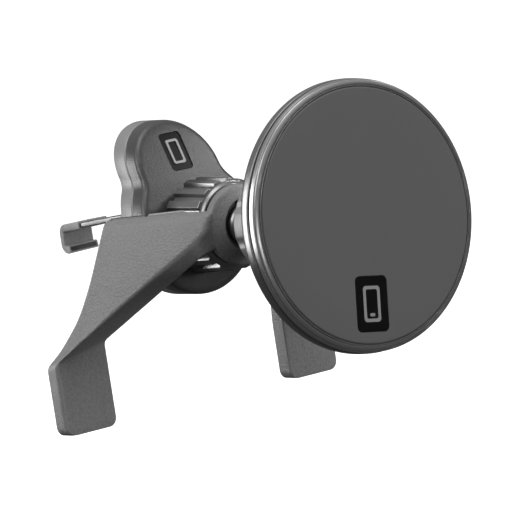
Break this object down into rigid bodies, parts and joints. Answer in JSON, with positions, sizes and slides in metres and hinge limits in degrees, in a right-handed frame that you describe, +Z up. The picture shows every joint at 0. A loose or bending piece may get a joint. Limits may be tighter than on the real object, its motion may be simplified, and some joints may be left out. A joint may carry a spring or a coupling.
{
  "type": "car phone mount",
  "caption": "Magnetic phone holder for a car air vent: round magnetic head on a ball joint, ribbed knob that pulls a steel hook, and a two-legged support bracket.",
  "frame": {"origin": "centre of the knob's axis on the clamp's rear pad, the face that rests on the vent", "axes": "+Y out of the rear pad towards the vent, +Z up, +X to the right as the driver sees it"},
  "size_m": [0.0756, 0.1083, 0.0699],
  "materials": {
    "shell_dark": "fine grained dark grey moulded plastic",
    "shell_grey": "satin grey moulded plastic",
    "leg_grey": "satin grey moulded plastic",
    "nut_grey": "satin grey moulded plastic",
    "liner": "low friction liner plastic",
    "rubber": "textured soft rubber",
    "steel": "brushed steel",
    "magnet": "nickel plated magnet",
    "satin_metal": "satin gunmetal coating",
    "face_pad": "smooth soft-touch grey",
    "gloss_black": "gloss black"
  },
  "bodies": {
    "clamp": {"clamp_front_shell": "shell_dark", "clamp_rear_shell": "shell_grey", "rear_pad_lower": "rubber", "rear_pad_upper": "rubber", "hub_core": "shell_dark", "retaining_clip": "steel", "ball_stud": "satin_metal", "shell_screw_1": "steel", "shell_screw_2": "steel", "hub_screw_1": "steel", "hub_screw_2": "steel", "hub_screw_3": "steel"},
    "knob": {"knob": "satin_metal"},
    "hook": {"hook_slider": "satin_metal", "hook_strip": "steel", "hook_rivet": "steel", "hook_sleeve": "rubber"},
    "legs": {"leg_bracket": "leg_grey", "foot_pad_left": "rubber", "foot_pad_right": "rubber"},
    "ball_pan": {"ball_seat_front": "liner"},
    "ball_tilt": {"ball_seat_rear": "liner"},
    "head": {"head_cover": "satin_metal", "magnet_carrier": "shell_dark", "steel_shunt": "steel", "magnet_1": "magnet", "magnet_2": "magnet", "magnet_3": "magnet", "magnet_4": "magnet", "magnet_5": "magnet", "magnet_6": "magnet", "magnet_7": "magnet", "magnet_8": "magnet", "magnet_9": "magnet", "magnet_10": "magnet", "magnet_11": "magnet", "magnet_12": "magnet", "front_bezel": "satin_metal", "head_screw_1": "steel", "head_screw_2": "steel", "head_screw_3": "steel", "face_pad": "face_pad", "face_badge": "gloss_black"},
    "nut": {"lock_nut": "nut_grey"}
  },
  "joints": [
    {"name": "knob_turn", "type": "hinge", "parent": "clamp", "child": "knob", "pos_m": [0, 0, 0], "axis": [0, 1, 0], "range_deg": [0, 1080]},
    {"name": "hook_slide", "type": "slide", "parent": "clamp", "child": "hook", "axis": [0, -1, 0], "range_m": [0, 0.0105]},
    {"name": "leg_swing", "type": "hinge", "parent": "clamp", "child": "legs", "pos_m": [0, -0.0249, 0], "axis": [0, 1, 0], "range_deg": [-25, 25]},
    {"name": "head_pan", "type": "hinge", "parent": "clamp", "child": "ball_pan", "pos_m": [0, -0.0369, 0], "axis": [0, 0, 1], "range_deg": [-25, 25]},
    {"name": "head_tilt", "type": "hinge", "parent": "ball_pan", "child": "ball_tilt", "pos_m": [0, -0.0369, 0], "axis": [1, 0, 0], "range_deg": [-25, 25]},
    {"name": "head_spin", "type": "hinge", "parent": "ball_tilt", "child": "head", "pos_m": [0, -0.0369, 0], "axis": [-0.0087, -0.9988, 0.0489], "range_deg": [-180, 180]},
    {"name": "nut_turn", "type": "hinge", "parent": "head", "child": "nut", "pos_m": [0, -0.0369, 0], "axis": [-0.0087, -0.9988, 0.0489], "range_deg": [0, 90]}
  ],
  "couplings": [
    {"joint": "hook_slide", "follows": "knob_turn", "m_per_rad": 0.00055699}
  ]
}
